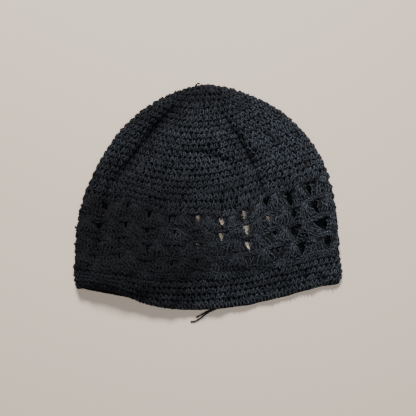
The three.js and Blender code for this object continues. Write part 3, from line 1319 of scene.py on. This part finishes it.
@dataclass
class HemBand:
    """The plain rounds at the mouth and the edging that closes them.

    Attributes:
        form: The fabric.
        rounds: Plain rounds.
        depth: Depth of a plain round.
        edge_pitch: Millimetres from one stroke of the edging to the next.
        edge_spread: Spread of the strokes' places, in strokes.
        stitch: The plain rounds' stitch.
        edging: A stroke of the edging.
        cores: Rows of (down, lift, radius) of the strands that the strokes go over.
        seed: Start of the small differences.
    """

    form: CapForm
    rounds: int = 5
    depth: float = 5.5
    edge_pitch: float = 2.9
    edge_spread: float = 0.06
    stitch: SingleCrochet = SingleCrochet(relief=1.05, valley=0.45)
    edging: YarnRun = YarnRun(
        (
            (0.55, -1.25, -0.7), (0.42, -0.90, 0.45), (0.22, -0.30, 1.00), (0.0, 0.30, 0.90),
            (-0.2, 0.72, -0.2), (-0.1, 0.60, -1.0), (0.2, 0.3, -1.1),
        ),
        radius=0.66,
    )
    cores: tuple[Row, ...] = ((-0.2, -0.9, 1.0), (0.28, -0.6, 1.0), (0.86, -1.0, 1.0))
    seed: int = 57

    def core(self, batch: YarnBatch, distance: float, lift: float, radius: float) -> None:
        """Lay one strand all the way round the mouth, in the painted deep shade.

        Args:
            batch: Where the yarn goes.
            distance: Its distance from the crown's centre.
            lift: Millimetres out of the fabric.
            radius: Its radius.
        """
        course = Course(self.form, distance, 0.0, self.edge_pitch)
        places_round = 221
        angle = course.angle_at(np.linspace(0.0, course.stitches, places_round))
        places, _, down, out = self.form.basis(np.full_like(angle, distance), angle)
        line = (places + lift * out)[None]
        line[..., 2] = np.maximum(line[..., 2], radius)
        # The cores take the painted deep shade; the outermost shows as a painted dark line under the mouth's
        # edge.
        batch.tube(line, down[None], out[None], np.array([radius]), along(line), np.array([DEEP_PAINTED_SHADE]))

    def build(self, finish: Material) -> list[Piece]:
        """Work the band.

        Args:
            finish: The yarn's material.

        Returns:
            The plain rounds and the edging.
        """
        rng = np.random.default_rng(self.seed)
        start = self.form.crown + self.form.lace
        plain = YarnBatch()
        for index in range(self.rounds):
            course = Course(self.form, start + self.depth * index, self.depth, self.stitch.width)
            self.stitch.work(plain, course, index, rng)
        begin = start + self.depth * self.rounds
        course = Course(self.form, begin, self.form.length - begin, self.edge_pitch)
        strokes = course.stitches
        place = np.arange(strokes) + rng.normal(0.0, self.edge_spread, strokes)
        points = self.edging.copies(strokes, self.stitch.wobble, rng)
        edge = YarnBatch()
        edge.lay(course, self.edging, place, points, rng.random(strokes), rng)
        for down, lift, radius in self.cores:
            self.core(edge, begin + course.depth * down, lift, radius)
        named = ((plain, "hem_rounds"), (edge, "hem_edging"))
        return [dress(batch, name, finish, Zone.HEM) for batch, name in named]


@dataclass
class YarnTail:
    """A loose end of yarn on the floor, its strands twisted round its route.

    Attributes:
        zone: The CAD node it stands for.
        x: The route's x, from the mouth.
        y: The route's y.
        radius: The yarn's radius.
        strands: Strands twisted together.
        thin: A strand's radius, as a share of the yarn's.
        fray: How much the strands spread at the end, as a share.
        lay: Length of one turn of the twist.
    """

    zone: Zone
    x: Row
    y: Row
    radius: float = 0.7
    strands: int = 3
    thin: float = 0.72
    fray: float = 0.25
    lay: float = 6.0

    def build(self, finish: Material) -> list[Piece]:
        """Args:
            finish: The yarn's material.

        Returns:
            The tail.
        """
        middle = smoothed(np.array([(x, y, self.radius) for x, y in zip(self.x, self.y)]), 48)
        lengths = along(middle)
        side, across = transported(middle)
        batch = YarnBatch(sides=6)
        thin = self.radius * self.thin
        for strand in range(self.strands):
            turn = TURN * (lengths / self.lay + strand / self.strands)
            spread = (self.radius - thin) * (1.0 + self.fray * (lengths / lengths[-1]) ** 6)
            line = middle + spread[:, None] * (np.cos(turn)[:, None] * side + np.sin(turn)[:, None] * across)
            line[:, 2] = np.maximum(line[:, 2], thin)
            first, second = transported(line)
            shade = np.array([strand / self.strands])
            batch.tube(line[None], first[None], second[None], np.array([thin]), lengths[None], shade)
        tail = dress(batch, f"{self.zone.value}_strands", finish, self.zone)
        return [tail]


@dataclass
class LooseEnd:
    """A short end of yarn that has worked its way out of the fabric.

    Attributes:
        name: The piece's name.
        zone: The CAD node it belongs to.
        points: Places along it, the first inside the fabric.
        radius: The yarn's radius.
        shade: Its tone.
    """

    name: str
    zone: Zone
    points: tuple[Row, ...]
    radius: float = 0.6
    shade: float = 0.5

    def build(self, finish: Material) -> list[Piece]:
        """Make the loose end.

        Args:
            finish: The yarn's material.

        Returns:
            The piece.
        """
        line = smoothed(np.array(self.points, dtype=float), 16)[None]
        batch = YarnBatch(sides=6)
        batch.tube(line, *transported(line), np.array([self.radius]), along(line), np.array([self.shade]))
        return [dress(batch, self.name, finish, self.zone)]


@dataclass
class Studio:
    """The floor, the lights and the camera.

    Attributes:
        field_width: Width of floor in the picture, in metres.
        height: Height of the camera over the floor, in metres.
        centre: The floor's point under the camera, in metres.
        sensor: Width of the camera's sensor, in millimetres.
        floor_size: The floor's side, in metres.
        floor_colour: The floor's colour.
        floor_rough: The floor's roughness.
        sky: Colour of the light from all round.
        sky_strength: Its strength.
    """

    field_width: float = 0.3328
    height: float = 0.60
    centre: Row = (0.0004, -0.0090)
    sensor: float = 36.0
    floor_size: float = 4.0
    floor_colour: Row = (0.62, 0.525, 0.435, 1.0)
    floor_rough: float = 0.55
    sky: Row = (0.92, 0.96, 1.0, 1.0)
    sky_strength: float = 0.08

    def camera(self) -> None:
        """Hang the camera over the cap, looking straight down."""
        data = bpy.data.cameras.new("camera")
        data.sensor_width = self.sensor
        data.lens = self.sensor * self.height / self.field_width
        camera = bpy.data.objects.new("camera", data)
        camera.location = (*self.centre, self.height)
        bpy.context.scene.collection.objects.link(camera)
        bpy.context.scene.camera = camera

    def floor(self) -> None:
        """Lay the pale floor."""
        bpy.ops.object.select_all(action="DESELECT")
        bpy.ops.mesh.primitive_plane_add(size=self.floor_size, location=(0.0, 0.0, 0.0))
        floor = bpy.context.active_object
        floor.name = "floor"
        material = bpy.data.materials.new("floor")
        material.use_nodes = True
        surface = {"Base Color": self.floor_colour, "Roughness": self.floor_rough}
        Nodes(material.node_tree).feed(material.node_tree.nodes["Principled BSDF"], surface)
        floor.data.materials.append(material)

    def light(self, name: str, place: Row, size: float, power: float, colour: Row) -> None:
        """Add a square light that faces the cap.

        Args:
            name: The light's name.
            place: Where it hangs, in metres.
            size: Its side, in metres.
            power: Its power, in watts.
            colour: Its colour.
        """
        data = bpy.data.lights.new(name, "AREA")
        data.size = size
        data.energy = power
        data.color = colour
        lamp = bpy.data.objects.new(name, data)
        lamp.location = place
        away = np.array(place) / np.linalg.norm(place)
        lamp.rotation_euler = (math.acos(away[2]), 0.0, math.atan2(away[1], away[0]) + math.pi / 2)
        bpy.context.scene.collection.objects.link(lamp)

    def build(self) -> None:
        """Set up the whole studio."""
        self.camera()
        self.floor()
        self.light("key", (-0.12, 1.32, 1.19), 0.40, 64.0, (1.0, 0.97, 0.93))
        self.light("overhead", (0.08, -0.05, 0.90), 0.26, 4.0, (1.0, 0.98, 0.96))
        world = bpy.data.worlds.new("studio")
        world.use_nodes = True
        Nodes(world.node_tree).feed(world.node_tree.nodes["Background"], {0: self.sky, 1: self.sky_strength})
        bpy.context.scene.world = world


def main() -> None:
    """Build the cap and its studio."""
    logging.basicConfig(level=logging.INFO, format="%(name)s %(message)s")
    form = CapForm()
    fabric = CottonFinish("crochet_cotton").build()
    loose = CottonFinish("loose_yarn", (0.012, 0.011, 0.011, 1.0), (0.060, 0.055, 0.052, 1.0)).build()
    Studio().build()
    ends = (
        YarnTail(
            Zone.TAIL_LONG,
            (20.6, 20.2, 16.2, 10.8, 5.8, -0.6, -5.6, -9.6, -13.6),
            (-80.6, -83.8, -86.5, -88.3, -90.0, -93.2, -97.1, -99.4, -99.9),
        ),
        YarnTail(
            Zone.TAIL_SHORT,
            (17.4, 16.6, 12.5, 8.0, 4.0, -2.0, -8.8),
            (-81.0, -84.0, -86.4, -87.9, -89.6, -92.6, -96.4),
        ),
        LooseEnd(
            "crown_loose_end",
            Zone.CROWN,
            ((-10.0, 83.5, 7.0), (-9.7, 86.4, 8.0), (-8.8, 88.3, 8.2), (-7.2, 89.3, 7.8), (-6.2, 89.2, 7.2)),
        ),
        LooseEnd(
            "lace_snag",
            Zone.LACE,
            (
                (-97.0, -28.5, 9.6), (-100.5, -26.4, 9.8), (-103.4, -24.2, 9.0), (-104.6, -24.0, 7.6),
                (-103.4, -25.6, 6.4),
            ),
        ),
    )
    fabrics = (Crown(form), LaceBand(form), HemBand(form))
    for parts, finish in ((ends, loose), (fabrics, fabric)):
        for part in parts:
            for piece in part.build(finish):
                LOG.info("%s: %d faces", piece.name, len(piece.data.polygons))


if __name__ == "__main__":
    main()
